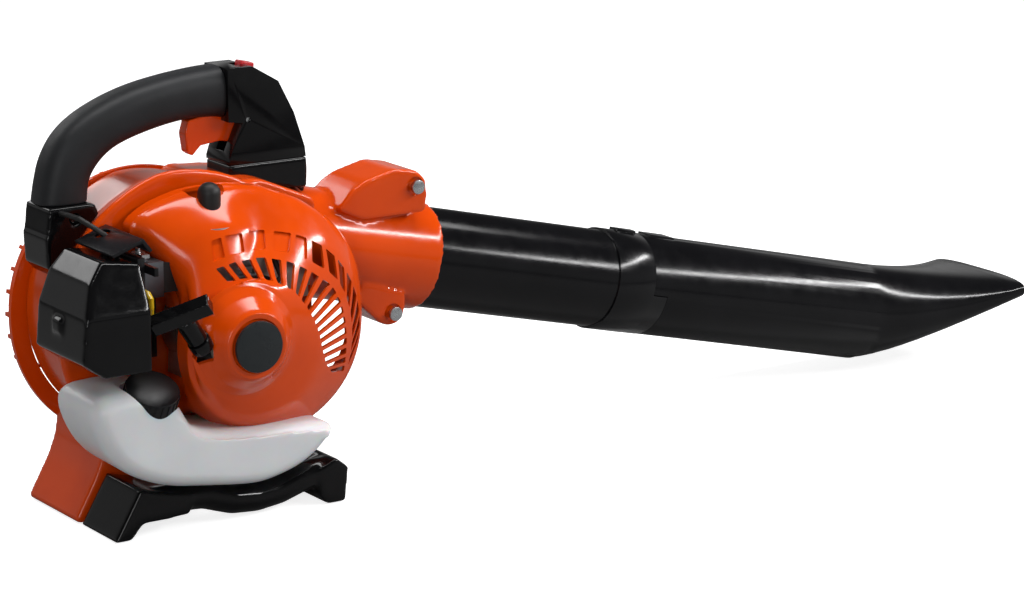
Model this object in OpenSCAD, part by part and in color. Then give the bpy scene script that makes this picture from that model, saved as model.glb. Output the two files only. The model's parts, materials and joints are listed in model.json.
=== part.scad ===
// Handheld petrol leaf blower, 26 cc class, millimetres.
// The crank axis runs along Y through the drawing origin. +X is forward, towards the
// nozzle, -Y is the engine side, +Y is the air intake side and +Z is up. Every module is
// drawn there, and placed() moves it so that the blower stands on Z = 0, centred on its box.

/* [Fan] */
// Radius of the fan impeller
fan_r = 84; // [78:0.5:90]
// Gap between the impeller and the narrowest point of the scroll
fan_gap = 3; // [2:0.5:6]
// Number of impeller blades
fan_blades = 14; // [8:1:20]
// Radius of the air intake eye
eye_r = 60; // [50:1:66]

/* [Volute] */
// Wall of the volute halves
wall = 3; // [2:0.2:4]
// Extra radius of the volute at its widest point, over its narrowest
scroll_growth = 15; // [10:1:20]
// Outer face of the volute on the intake side
y_far = 40; // [34:1:46]
// Parting plane between the two volute halves
y_seam = -20; // [-26:1:-12]
// Outer face of the volute on the engine side
y_near = -45; // [-48:1:-42]
// Flare of the volute at the engine side
skirt = 12; // [6:1:14]
// Depth of the intake guard
guard_depth = 20; // [14:1:26]
// Spokes of the intake guard
guard_spokes = 36; // [24:2:48]

/* [Blower tube and nozzle] */
// Outer radius of the first tube
tube_r = 39.5; // [34:0.5:42]
// Wall of the tubes
tube_wall = 2.2; // [1.6:0.1:3]
// Slope of the tubes below the horizontal, in degrees
tube_slope = 13.3; // [8:0.1:16]
// Distance along the tube axis at which the outlet collar ends
collar_s = 231; // [200:1:260]
// Distance along the tube axis at which the first tube ends
joint_s = 432; // [380:1:480]
// Length of the nozzle beyond the first tube
nozzle_len = 380; // [340:1:420]
// Length of the tapered end of the nozzle
taper_len = 138; // [120:1:150]
// Half width of the nozzle mouth
mouth_w = 62; // [50:1:70]
// Half height of the nozzle mouth
mouth_h = 9.5; // [8:0.5:14]
// Turn that unlocks the nozzle, in degrees
nozzle_turn = 20; // [12:1:25]

/* [Engine] */
// Cylinder bore radius
bore_r = 17; // [15:0.5:19]
// Crank throw, half of the stroke
throw_r = 14; // [11:0.5:15]
// Length of the connecting rod between its eyes
rod_len = 44; // [42:0.5:50]
// Crankshaft radius
shaft_r = 6; // [5:0.25:7]
// Plane of the cylinder axis
y_cyl = -68; // [-69:0.5:-67]
// Flywheel radius
flywheel_r = 34; // [28:1:34]
// Running clearance of shafts and pins, on the radius
run_gap = 0.05; // [0.03:0.01:0.1]
// Clearance between separate bodies
clear = 0.3; // [0.3:0.1:0.6]

/* [Engine cover] */
// Wall of the engine cover
cover_wall = 3; // [2:0.2:4]
// Number of windows in the inner vent row
inner_vents = 17; // [10:1:20]
// Number of windows in the outer vent row
outer_vents = 12; // [8:1:14]
// Radius of the round badge
badge_r = 19; // [12:1:20]

/* [Starter] */
// Radius at which the rope leaves the reel
reel_r = 22; // [18:1:24]
// Radius of the starter rope
rope_r = 1.5; // [1:0.25:2]
// Length of the starter grip bar
grip_len = 46; // [40:1:50]

/* [Fuel system] */
// Near face of the fuel tank
tank_near = -100; // [-104:1:-96]
// Wall of the fuel tank
tank_wall = 2; // [1.5:0.1:3]
// Radius of the fuel cap
cap_r = 20.5; // [18:0.5:22]
// Lean of the filler neck towards the engine side, in degrees
cap_lean = 28; // [20:1:32]

/* [Handle] */
// Width of the soft grip
grip_w = 36; // [28:1:42]
// Width of the handle frame inside the grip
frame_w = 18; // [14:1:22]
// Width of the trigger
trigger_w = 11; // [8:0.5:13]

/* [Stand] */
// Radius of the stand bar
bar_r = 11; // [8:0.5:12]
// Plane of the stand bar
bar_y = -85; // [-90:1:-80]
// Height of the ground below the crank axis
ground = 142; // [138:1:150]

/* [Hidden] */
$fn = 64;

orange = "#E8500A";
black = "#1C1D1F";
grey = "#8E9296";

// Volute and tube layout
scroll_min = fan_r + fan_gap + wall;
scroll_max = scroll_min + scroll_growth;
duct_r = tube_r + clear + wall - 0.5;
tube_rise = (scroll_max - duct_r) / cos(tube_slope);
rim_s = joint_s - 36;
rim_r = tube_r + 1.8;
spigot_r = rim_r - tube_wall - clear;
nozzle_r = rim_r - 0.3;
mouth_s = joint_s + nozzle_len;
taper_s = mouth_s - taper_len;
scroll_from = -8;
scroll_turn = 249;
duct_flat = 100;

// Engine layout along the crank axis
fin_x = 28;
fin_y = 17;
rod_w = 7;
web_gap = 1;
web_w = 8;
web_r = 20;
chamber_r = web_r + 4;
case_r = chamber_r + 6;
chamber_far = y_cyl + rod_w / 2 + web_gap + web_w + 1;
chamber_near = y_cyl - rod_w / 2 - web_gap - web_w - 1;
case_far = y_near - clear;
case_near = chamber_near - 8;
bearing_r = shaft_r + 6;
deck_z = case_r;
port_z = deck_z + 15;
carb_x = -fin_x - 18;
filter_x = carb_x - 32;
pin_z = throw_r + rod_len;
crown_z = pin_z + 12;
head_z = crown_z + 2;
cyl_top = head_z + 6;
plug_top = cyl_top + 20;
cap_top = plug_top + 12;
flywheel_far = case_near - 2;
flywheel_near = flywheel_far - 12;
reel_far = -112;
reel_near = -125;
flange_r = reel_r + 4;

// Cover rings: [y, radius, centre x, centre z], from the rim to the hub
ring_rim = [-84, 80, 42, -8];
ring_top = [-93, 38, 4, 42];
ring_mid = [-110, 54, 16, -11];
ring_step = [-120, 42, 0, 0];
hub_r = badge_r + 5;
hub_y = -138;
cover_low = -66;
vent_outer = [80, 44, -8.5];
vent_mid = [63, 42, -7];
vent_inner = [52, 16, -11];

// Starter grip: the guide's mouth, and the unit vector along the pull
guide = [-38, -122, 3];
pull_lean = 36.7;
pull_out = 11.6;
bar_roll = 36.6;
grip_out = 30;

// Fuel cap: middle of its top face, and its height
cap_at = [-69, -105, -28];
cap_h = 17;
neck_r = cap_r - 3.5;
tank_far = y_near - 7;

// Places where the fuel lines leave the tank
line_x = [-60, -52];
line_y = -64;

// Place of the choke shaft, as Y and Z
choke_at = [-97, 60];

// Handle points
trigger_at = [62, 140];

// Centre of the whole box, in the drawing frame
x_rear = -134;
x_front = mouth_s * cos(tube_slope) + (42.5 + mouth_h) * sin(tube_slope);
y_engine = -148.5;
y_intake = y_far + guard_depth + 2;
// How far the grille reaches beyond the scroll's narrow side
guard_over = 20;
mid_x = (x_front + x_rear) / 2;
mid_y = (y_engine + y_intake) / 2;

module placed() {
  translate([-mid_x, -mid_y, ground]) children();
}

// A shape drawn as X and Z, extruded along Y from near to far
module slab(near, far) {
  translate([0, far, 0]) rotate([90, 0, 0]) linear_extrude(far - near) children();
}

// A cylinder along Y at (x, z)
module rod_y(near, far, r, x = 0, z = 0) {
  translate([x, far, z]) rotate([90, 0, 0]) cylinder(h = far - near, r = r);
}

// A round ring along Y at (x, z)
module ring_y(near, far, r, hole, x = 0, z = 0) {
  difference() {
    rod_y(near, far, r, x, z);
    rod_y(near - 1, far + 1, hole, x, z);
  }
}

// A cone along Y at (x, z)
module cone_y(near, far, r_near, r_far, x = 0, z = 0) {
  translate([x, far, z]) rotate([90, 0, 0]) cylinder(h = far - near, r1 = r_far, r2 = r_near);
}

// Children stand on the tube axis at s, with Z along the axis and -X up
module on_tube(s) {
  translate([0, 0, tube_rise]) rotate([0, 90 + tube_slope, 0]) translate([0, 0, s]) children();
}

// A pipe on the tube axis
module pipe(from, to, r, hole) {
  on_tube(from) difference() {
    cylinder(h = to - from, r = r);
    translate([0, 0, -1]) cylinder(h = to - from + 2, r = hole);
  }
}

// A screw along Y with a pan head, its head's outer face at head_y
module screw_y(x, z, head_y, length, r = 2.2, head_r = 5.5) {
  rod_y(head_y, head_y + 3, head_r, x, z);
  rod_y(head_y + 3, head_y + length, r, x, z);
}

function unit(v) = v / norm(v);
function tangent(path, i) =
  unit(path[min(i + 1, len(path) - 1)] - path[max(i - 1, 0)]);

// A round hose or bar along a path, on rings that lean with it
module hose(path, r, side = [0, 1, 0], sides = 12) {
  rings = len(path);
  points = [for (i = [0:rings - 1], j = [0:sides - 1])
    let (t = tangent(path, i), u = unit(cross(t, side)), v = cross(t, u), a = j * 360 / sides)
    path[i] + r * cos(a) * u + r * sin(a) * v];
  faces = concat(
    [[for (j = [0:sides - 1]) j]],
    [[for (j = [sides - 1:-1:0]) (rings - 1) * sides + j]],
    [for (i = [0:rings - 2], j = [0:sides - 1])
      let (k = (j + 1) % sides) [i * sides + j, (i + 1) * sides + j, (i + 1) * sides + k, i * sides + k]]);
  polyhedron(points, faces, convexity = 6);
}

// ---- Volute ----

function on_axis(s, off) = [s * cos(tube_slope) + off * sin(tube_slope),
                            tube_rise - s * sin(tube_slope) + off * cos(tube_slope)];
function scroll_pt(t, inset) =
  let (a = scroll_from - t * scroll_turn, r = scroll_min + (scroll_max - scroll_min) * t - inset)
  [r * cos(a), r * sin(a)];

module scroll_outline(inset, reach) {
  steps = 48;
  polygon([
    for (i = [0:steps]) scroll_pt(i / steps, inset),
    on_axis(duct_flat + reach, duct_r - inset),
    on_axis(duct_flat + reach, -duct_r + inset)]);
}

module volute_outer() {
  slab(y_near, y_far) scroll_outline(0, 0);
  hull() {
    slab(y_seam - 1, y_seam) scroll_outline(0, -30);
    slab(y_near, y_near + 7) offset(delta = skirt) scroll_outline(0, -45);
  }
  on_tube(30) cylinder(h = collar_s - 30, r = duct_r);
  foot_block();
  duct_ears();
}

// The rear foot, which spreads to a flat sole
module foot_block() {
  slab(-40, y_far) polygon([
    [-101, -ground], [-62, -ground], [-58, -118], [-40, -98], [-62, -72], [-86, -58], [-95, -97]]);
}

// Ears that clamp the two halves round the blower tube
module duct_ears() {
  slab(-38, 12) polygon([[139, 70], [152, 82], [179, 91], [204, 86], [209, 76], [207, 62], [150, 60]]);
  slab(-38, 12) polygon([[140, -8], [172, -31], [180, -30], [187, -20], [186, -8], [150, 4]]);
}

module volute_inner() {
  slab(y_near + wall, y_far - wall) scroll_outline(wall, 1);
  on_tube(60) cylinder(h = collar_s, r = tube_r + 0.3);
}

ear_holes = [[197, 77], [176, -20]];

module volute_far() {
  color(orange) placed() difference() {
    intersection() {
      volute_outer();
      translate([-300, y_seam, -300]) cube([700, 200, 700]);
    }
    volute_inner();
    rod_y(y_far - wall - 1, y_far + 1, eye_r);
    for (p = ear_holes) rod_y(y_seam - 1, 14, 2.4, p[0], p[1]);
    slab(-36, y_far - 4) polygon([[-96, -ground + 5], [-67, -ground + 5], [-63, -120], [-89, -104]]);
  }
}

module volute_near() {
  color(orange) placed() difference() {
    intersection() {
      volute_outer();
      translate([-300, y_seam - 200, -300]) cube([700, 200, 700]);
    }
    volute_inner();
    rod_y(y_near - 1, y_near + wall + 1, bearing_r + 3);
    for (p = ear_holes) rod_y(-39, y_seam + 1, 2.6, p[0], p[1]);
    for (p = cover_posts) rod_y(y_near - 1, y_near + wall + 1, 1.9, p[0], p[1]);
    slab(-36, y_far - 4) polygon([[-96, -ground + 5], [-67, -ground + 5], [-63, -120], [-89, -104]]);
  }
}

module intake_guard() {
  outer = scroll_min + guard_over;
  rail = outer - 14;
  face = y_far + guard_depth;
  color(orange) placed() difference() {
    union() {
      ring_y(y_far, y_far + 4, outer, rail);
      ring_y(face - 3, face, outer - 8, rail);
      for (r = [26:12:outer - 20]) ring_y(face - 3, face, r + 2, r - 2);
      rod_y(face - 3, face + 2, 14);
      for (i = [0:guard_spokes - 1]) rotate([0, i * 360 / guard_spokes, 0]) {
        translate([rail, y_far + 1, -1.5]) cube([9, guard_depth - 1, 3]);
        if (i % 3 == 0) translate([12, face - 3, -1.5]) cube([outer - 20, 3, 3]);
      }
    }
    on_tube(0) cylinder(h = collar_s, r = duct_r + clear);
  }
}

// ---- Rotating group ----

module fan_impeller() {
  hub_len = 50;
  root = 34;
  color(grey) placed() {
    difference() {
      union() {
        rod_y(-34, -31, fan_r);
        cone_y(-34, -34 + hub_len, 26, 13);
      }
      rod_y(-40, 60, shaft_r + 0.02);
    }
    for (i = [0:fan_blades - 1]) rotate([0, i * 360 / fan_blades, 0]) intersection() {
      ring_y(-31.5, 32, 46, 43.6, 62, 26);
      ring_y(-32, 33, fan_r - 0.5, root);
      translate([20, -40, -60]) cube([80, 90, 84]);
    }
  }
}

module fan_nut() {
  color(grey) placed() difference() {
    rotate([90, 0, 0]) translate([0, 0, -23]) cylinder(h = 6.8, r = 9, $fn = 6);
    rod_y(10, 30, shaft_r - 1.98);
  }
}

module crankshaft() {
  color(grey) placed() {
    rod_y(y_cyl + rod_w / 2 + web_gap + web_w - 1, 16, shaft_r);
    rod_y(15, 26, shaft_r - 2);
    rod_y(flywheel_near + 2, y_cyl - rod_w / 2 - web_gap - web_w + 1, shaft_r);
    rod_y(flywheel_near - 6, flywheel_near + 3, shaft_r - 2);
    for (side = [1, -1]) {
      inner = y_cyl + side * (rod_w / 2 + web_gap);
      rod_y(min(inner, inner + side * web_w), max(inner, inner + side * web_w), web_r);
      rod_y(min(inner, inner - side * 0.7), max(inner, inner - side * 0.7), 5, 0, throw_r);
    }
  }
}

module flywheel() {
  color(grey) placed() {
    difference() {
      union() {
        rod_y(flywheel_far - 5, flywheel_far, flywheel_r);
        ring_y(flywheel_near, flywheel_far - 4, 14, 10);
        rod_y(flywheel_near + 4, flywheel_far, 12);
      }
      rod_y(-130, -60, shaft_r + 0.02);
    }
    for (i = [0:15]) rotate([0, i * 22.5, 0]) {
      translate([18, flywheel_near, -1.2]) cube([flywheel_r - 19, 8, 2.4]);
    }
    ring_y(flywheel_near, flywheel_near + 2.5, flywheel_r - 0.5, flywheel_r - 3);
  }
}

module flywheel_nut() {
  color(grey) placed() difference() {
    rotate([90, 0, 0]) translate([0, 0, -flywheel_near - 1]) cylinder(h = 5, r = 7.5, $fn = 6);
    rod_y(-130, -60, shaft_r - 1.98);
  }
}

// ---- Crankcase and cylinder ----

module case_form(near, far) {
  difference() {
    union() {
      rod_y(near, far, case_r);
      slab(near, far) polygon([[-24, 0], [24, 0], [24, deck_z], [-24, deck_z]]);
      slab(near, far) polygon([[-24, -16], [24, -16], [25, -35], [-25, -35]]);
    }
    rod_y(chamber_near, chamber_far, chamber_r);
    translate([0, y_cyl, 0]) cylinder(h = 60, r = bore_r + 1);
    rod_y(case_near - 1, case_far + 1, shaft_r + 2);
    rod_y(case_far - 3, case_far + 1, shaft_r + 5);
    rod_y(chamber_far - 1, chamber_far + 5, bearing_r);
    rod_y(chamber_near - 5, chamber_near + 1, bearing_r);
    rod_y(case_near - 1, case_near + 3, shaft_r + 5);
  }
}

module crankcase_far() {
  color(grey) placed() case_form(y_cyl + 0.25, case_far);
}

module crankcase_near() {
  color(grey) placed() {
    case_form(case_near, y_cyl - 0.25);
    rotate([0, -42, 0]) translate([case_r - 5, case_near, -9]) cube([20, 4, 18]);
  }
}

module case_gasket() {
  color("#3A5A48") placed() difference() {
    rod_y(y_cyl - 0.25, y_cyl + 0.25, case_r);
    rod_y(y_cyl - 1, y_cyl + 1, chamber_r);
    translate([-30, y_cyl - 1, deck_z - 14]) cube([60, 2, 40]);
  }
}

module bearings() {
  color("silver") placed() for (from = [chamber_far, chamber_near - 5]) {
    ring_y(from, from + 5, bearing_r, bearing_r - 1.8);
    ring_y(from, from + 5, shaft_r + 2, shaft_r + run_gap);
    ring_y(from + 1.5, from + 3.5, bearing_r - 1.5, shaft_r + 1.8);
  }
}

module oil_seals() {
  color(black) placed() {
    ring_y(case_far - 3, case_far, shaft_r + 5, shaft_r + run_gap);
    ring_y(case_near, case_near + 3, shaft_r + 5, shaft_r + run_gap);
  }
}

module cylinder_block() {
  translate([0, y_cyl, deck_z]) cylinder(h = cyl_top - deck_z, r = bore_r + 4);
  translate([-24, y_cyl - fin_y, deck_z]) cube([48, 2 * fin_y, 4]);
  for (z = [deck_z + 8:6:cyl_top - 11]) translate([-fin_x, y_cyl - fin_y, z])
    cube([2 * fin_x, 2 * fin_y, 2]);
  translate([-fin_x, y_cyl - 12, port_z - 9]) cube([fin_x, 24, 18]);
  translate([0, y_cyl - 12, port_z - 8]) cube([fin_x, 24, 20]);
}

module cylinder_barrel() {
  color(grey) placed() difference() {
    cylinder_block();
    translate([0, y_cyl, deck_z - 1]) cylinder(h = head_z - deck_z + 1, r = bore_r);
    translate([0, y_cyl, head_z - 1]) cylinder(h = 20, r = 4);
    translate([-fin_x - 1, y_cyl, port_z]) rotate([0, 90, 0]) cylinder(h = fin_x + 1, r = 6);
    translate([0, y_cyl, port_z + 2]) rotate([0, 90, 0]) cylinder(h = fin_x + 1, r = 7);
  }
}

module piston() {
  color("silver") placed() difference() {
    translate([0, y_cyl, pin_z - 8]) cylinder(h = crown_z - pin_z + 8, r = bore_r - run_gap);
    translate([0, y_cyl, pin_z - 15]) cylinder(h = crown_z - pin_z + 11.4, r = bore_r - 3);
    rod_y(y_cyl - 20, y_cyl + 20, 4.02, 0, pin_z);
    for (z = [crown_z - 3.5, crown_z - 6.5]) translate([0, y_cyl, z]) difference() {
      cylinder(h = 1.5, r = bore_r + 1);
      translate([0, 0, -1]) cylinder(h = 4, r = bore_r - 2);
    }
  }
}

module piston_rings() {
  color("dimgray") placed() for (z = [crown_z - 3.4, crown_z - 6.4]) translate([0, y_cyl, z]) difference() {
    cylinder(h = 1.3, r = bore_r - 0.02);
    translate([0, 0, -1]) cylinder(h = 4, r = bore_r - 1.9);
    translate([bore_r - 3, -0.3, -1]) cube([4, 0.6, 4]);
  }
}

module wrist_pin() {
  color("silver") placed() ring_y(y_cyl - bore_r + 2, y_cyl + bore_r - 2, 4, 2, 0, pin_z);
}

module connecting_rod() {
  color("dimgray") placed() difference() {
    union() {
      rod_y(y_cyl - rod_w / 2, y_cyl + rod_w / 2, 9, 0, throw_r);
      rod_y(y_cyl - rod_w / 2, y_cyl + rod_w / 2, 5.8, 0, pin_z);
      slab(y_cyl - 2, y_cyl + 2) translate([-4, throw_r]) square([8, rod_len]);
    }
    rod_y(y_cyl - 10, y_cyl + 10, 5.4, 0, throw_r);
    rod_y(y_cyl - 10, y_cyl + 10, 4.05, 0, pin_z);
  }
}

module spark_plug() {
  color("white") placed() translate([0, y_cyl, 0]) {
    translate([0, 0, head_z + 1]) cylinder(h = cyl_top - head_z, r = 4);
    translate([0, 0, cyl_top]) cylinder(h = 5, r = 8, $fn = 6);
    translate([0, 0, cyl_top + 5]) cylinder(h = plug_top - cyl_top - 5, r = 4);
  }
}

module plug_cap() {
  color(black) placed() translate([0, y_cyl, 0]) difference() {
    union() {
      translate([0, 0, cyl_top + 7]) cylinder(h = cap_top - cyl_top - 17, r = 8.5);
      translate([0, 0, cap_top - 10]) sphere(r = 8.5);
    }
    translate([0, 0, cyl_top]) cylinder(h = plug_top - cyl_top + 0.2, r = 4.05);
  }
}

module ignition_coil() {
  color(black) placed() rotate([0, -42, 0]) {
    translate([flywheel_r + 1, flywheel_near, -11]) cube([14, case_near - flywheel_near, 22]);
  }
}

module plug_lead() {
  color(black) placed() {
    hose([[8.6, y_cyl, 89], [14, y_cyl, 89], [22, -69, 88], [29, -70, 84], [33, -73, 76], [34, -78, 67],
      [36, -85, 58], [41, -91, 49], [42.58, -97, 38.34], [36.43, -97, 32.8]], 2.2, [0.3, 1, 0.2]);
  }
}

// ---- Exhaust and intake ----

module muffler() {
  box_x = fin_x + 1.4;
  color("silver") placed() difference() {
    union() {
      translate([box_x, -83, 17]) cube([44, 34, 38]);
      translate([box_x + 40, -72, 22]) cube([12, 14, 10]);
    }
    translate([box_x + 1.5, -81.5, 18.5]) cube([41, 31, 35]);
    translate([box_x - 1, y_cyl, port_z + 2]) rotate([0, 90, 0]) cylinder(h = 4, r = 7);
    translate([box_x + 30, -70, 24]) cube([30, 10, 6]);
  }
}

module muffler_gasket() {
  color("dimgray") placed() difference() {
    translate([fin_x + 0.2, y_cyl - 12, port_z - 8]) cube([1, 24, 20]);
    translate([fin_x, y_cyl, port_z + 2]) rotate([0, 90, 0]) cylinder(h = 4, r = 7);
  }
}

module bore_x(from, to, r) {
  translate([from, y_cyl, port_z]) rotate([0, 90, 0]) cylinder(h = to - from, r = r);
}

module intake_manifold() {
  color(black) placed() difference() {
    union() {
      translate([-fin_x - 4.2, y_cyl - 12, port_z - 12]) cube([4, 24, 24]);
      translate([carb_x + 0.2, y_cyl - 11, port_z - 11]) cube([14, 22, 22]);
    }
    translate([-fin_x - 9, y_cyl, port_z]) rotate([0, 90, 0]) cylinder(h = 10, r = 6);
    bore_x(carb_x - 1, -fin_x - 5, 6);
  }
}

module carburettor() {
  color(grey) placed() difference() {
    union() {
      translate([carb_x - 26, y_cyl - 14, port_z - 13]) cube([26, 28, 26]);
      translate([carb_x - 13, y_cyl, port_z - 17]) cylinder(h = 5, r = 11);
      translate([carb_x - 13, y_cyl, port_z + 12]) cylinder(h = 4, r = 7);
      translate([carb_x - 20, y_cyl - 22, port_z - 6]) rotate([-90, 0, 0]) cylinder(h = 9, r = 2.5);
    }
    bore_x(carb_x - 27, carb_x + 1, 6);
    translate([carb_x - 13, y_cyl, port_z - 11]) cylinder(h = 40, r = 2 + run_gap);
    translate([carb_x - 13, y_cyl, port_z - 20]) cylinder(h = 7, r = 9.4);
  }
}

module throttle_lever() {
  color("silver") placed() translate([carb_x - 13, y_cyl, port_z]) {
    translate([0, 0, -5]) cylinder(h = 27, r = 2);
    translate([0, 0, 16.4]) cylinder(h = 2.6, r = 5);
    translate([-3, -12, 16.4]) cube([6, 11, 2.6]);
  }
}

module choke_lever() {
  color(black) placed() {
    translate([filter_x + 1, choke_at[0], choke_at[1]]) rotate([0, 90, 0]) cylinder(h = 9, r = 2);
    translate([filter_x + 6, choke_at[0] - 21, choke_at[1] - 3]) cube([3, 24, 6]);
  }
}

module primer_bulb() {
  color("#C9CDB8") placed() translate([carb_x - 13, y_cyl, port_z - 20]) {
    cylinder(h = 3.5, r = 9);
    difference() {
      sphere(r = 7.5);
      translate([-10, -10, 0.5]) cube([20, 20, 10]);
    }
  }
}

module filter_base() {
  color(black) placed() difference() {
    union() {
      translate([filter_x, -104, -6]) cube([5.6, 45.6, 74]);
      translate([filter_x + 3, y_cyl - 13, port_z - 12]) cube([2.8, 26, 24]);
    }
    bore_x(filter_x - 1, filter_x + 8, 6);
    translate([filter_x - 1, choke_at[0], choke_at[1]]) rotate([0, 90, 0]) cylinder(h = 9, r = 2 + run_gap);
  }
}

module filter_element() {
  color("#5B5B57") placed() translate([filter_x - 16, -112, 2]) cube([15.6, 50, 52]);
}

// The filter cover's form, with its upper near edge sloped back for the pull
module cover_box(t) {
  difference() {
    slab(-125 + t, -47 - t) polygon([
      [filter_x - 0.4 + t * 3, -10 + t], [-116 - 0.1 * t, -10 + t], [-133 + t, 2 + t],
      [-130 + t, 34], [-121 + t, 56 - t], [-108, 70 - t], [filter_x - 0.4 + t * 3, 66 - t]]);
    translate([-150, -125 + t, 34]) rotate([-26, 0, 0]) translate([0, -60, 0]) cube([100, 60, 80]);
  }
}

module filter_cover() {
  color(black) placed() difference() {
    union() {
      cover_box(0);
      translate([x_rear, -90, 18]) cube([6, 14, 10]);
    }
    cover_box(2.4);
  }
}

module air_baffle() {
  color(black) placed() {
    slab(-53.5, y_near - 0.2) polygon([[-77, 75], [-52, 54], [-38, 28], [-38, -20], [-70, -20], [-74, 60]]);
    difference() {
      slab(-104, y_near - 0.2) polygon([[-98, 73], [-73, 82], [-66, 73], [-68, 71.5], [-74, 79], [-97, 71]]);
      translate([-81, -59, 75]) sphere(r = 7);
    }
  }
}

// ---- Engine cover and starter ----

cover_posts = [[-36, 72], [66, 78], [86, -40], [-20, -50]];

module cover_outline() {
  polygon([
    [-66, 79], [-44, 53], [-27, 22], [-24, -39], [-33, -66], [88, -66], [110, -59], [124, -44],
    [132, -20], [134, 8], [131, 30], [122, 50], [104, 70], [80, 86], [50, 98], [20, 103],
    [-14, 102], [-44, 94]]);
}

module ring_disc(ring, t) {
  rod_y(ring[0] + t, ring[0] + t + 0.2, ring[1] - t, ring[2], ring[3]);
}

module cover_form(t) {
  hull() {
    slab(-64, -50) offset(delta = -t, $fn = 32) cover_outline();
    ring_disc(ring_rim, t, $fn = 48);
    ring_disc(ring_top, t, $fn = 48);
  }
  hull() {
    ring_disc(ring_rim, t, $fn = 48);
    ring_disc(ring_top, t, $fn = 48);
    ring_disc(ring_mid, t, $fn = 48);
  }
  hull() {
    ring_disc(ring_mid, t, $fn = 48);
    ring_disc(ring_step, t, $fn = 48);
  }
  cone_y(hub_y + 2 + t, ring_step[0] + t, hub_r + 2 - t, ring_step[1] - 4 - t);
}

// Children that lie above a level
module above_tank(z) {
  intersection() {
    children();
    translate([-150, -200, z]) cube([400, 200, 300]);
  }
}

function ring_at(ring, a, r_off) =
  [ring[1] + (ring[0] + r_off) * cos(a), ring[2] + (ring[0] + r_off) * sin(a)];

// A window between two eccentric rings, centred on angle a
module window(a, half, low, high, low_off, high_off) {
  polygon([
    ring_at(low, a - half, low_off), ring_at(high, a - half, high_off),
    ring_at(high, a + half, high_off), ring_at(low, a + half, low_off)]);
}

module vent_windows() {
  inner_step = 190 / inner_vents;
  outer_step = 150 / outer_vents;
  slab(-128, -66) {
    for (i = [0:inner_vents - 1])
      window(148 - i * inner_step, inner_step * 0.32, vent_inner, vent_mid, 4, -2);
    for (i = [4:outer_vents - 1])
      window(136 - i * outer_step, outer_step * 0.36, vent_mid, vent_outer, 2, -3);
  }
}

module engine_cover() {
  color(orange) placed() {
    difference() {
      union() {
        difference() {
          above_tank(cover_low) cover_form(0);
          above_tank(cover_low + cover_wall) cover_form(cover_wall);
          above_tank(cover_low + cover_wall) slab(-63, -49) offset(delta = -cover_wall) cover_outline();
          vent_windows();
        }
        intersection() {
          cover_form(1);
          for (p = cover_posts) rod_y(-110, -49, 5, p[0], p[1]);
        }
        for (p = cover_posts) rod_y(-52, y_near - 0.2, 5, p[0], p[1]);
        rod_y(hub_y, hub_y + 5, hub_r);
        rod_y(hub_y + 2, reel_far, 6);
      }
      slab(-84, -40) polygon([
        [-140, 110], [-67, 80], [-45, 53], [-28, 22], [-25, -39], [-33, -60], [-140, -70]]);
      translate([-13, -82, cyl_top + 5]) cube([26, 28, 60]);
      translate([-60, -89, port_z - 14]) cube([35, 44, 28]);
      rod_y(hub_y - 1, hub_y + 1.5, badge_r + 0.3);
      translate([0, y_cyl, deck_z]) cylinder(h = cyl_top - deck_z + 0.4, r = bore_r + 4.4);
      translate(guide) sphere(r = 11);
      translate(guide) rotate([0, -pull_lean, 0]) rotate([pull_out, 0, 0]) cylinder(h = 30, r = 9);
      for (p = cover_posts) rod_y(-160, -40, 2.4, p[0], p[1]);
    }
  }
}

module badge() {
  color("#3C3F42") placed() rod_y(hub_y - 1.5, hub_y + 1.4, badge_r);
}

module starter_reel() {
  color("#D8D4C8") placed() difference() {
    union() {
      rod_y(reel_near, reel_near + 3, flange_r);
      rod_y(reel_near + 2, reel_far - 2, reel_r - rope_r);
      rod_y(reel_far - 3, reel_far, flange_r);
      ring_y(reel_far - 1, reel_far + 2, 9.5, 8.6);
    }
    rod_y(reel_near - 1, reel_far + 8, 6 + run_gap);
  }
}

module recoil_spring() {
  color("silver") placed() for (r = [9:3:18]) ring_y(-131, reel_near - 0.5, r + 0.5, r - 0.5);
}

// Children stand at the guide's mouth, with Z along the pull
module on_pull() {
  translate(guide) rotate([0, -pull_lean, 0]) rotate([pull_out, 0, 0]) children();
}

module starter_guide() {
  color(black) placed() difference() {
    on_pull() translate([0, 0, -3]) cylinder(h = 9, r = 8.6);
    on_pull() translate([0, 0, -8]) cylinder(h = 20, r = rope_r + 1);
  }
}

module starter_rope() {
  color("#2A2A2A") placed() on_pull() translate([0, 0, -6]) cylinder(h = grip_out - 1, r = rope_r, $fn = 24);
}

module starter_grip() {
  color(black) placed() on_pull() difference() {
    union() {
      translate([0, 0, 6.5]) cylinder(h = grip_out - 8, r = 7.6);
      translate([0, 0, grip_out - 2]) rotate([0, 0, -bar_roll]) translate([-grip_len / 2, -6, 0])
        cube([grip_len, 12, 11]);
    }
    translate([0, 0, 5]) cylinder(h = grip_out - 10, r = rope_r + 0.4);
  }
}

// ---- Fuel system ----

module tank_outline() {
  polygon([
    [-124, -28], [-115, -63], [-96, -87], [-64, -102], [-30, -106], [0, -111], [20, -113],
    [53, -103], [74, -86], [82, -70], [-36, -67.5], [-48, -46], [-56, -30], [-90, -25]]);
}

module on_cap() {
  translate(cap_at) rotate([cap_lean, 0, 0]) children();
}

// The recess round the fuel cap
module cap_pocket(grow) {
  on_cap() translate([0, 0, -cap_h - 0.6 - grow]) cylinder(h = 60, r = cap_r + 2 + grow);
}

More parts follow.
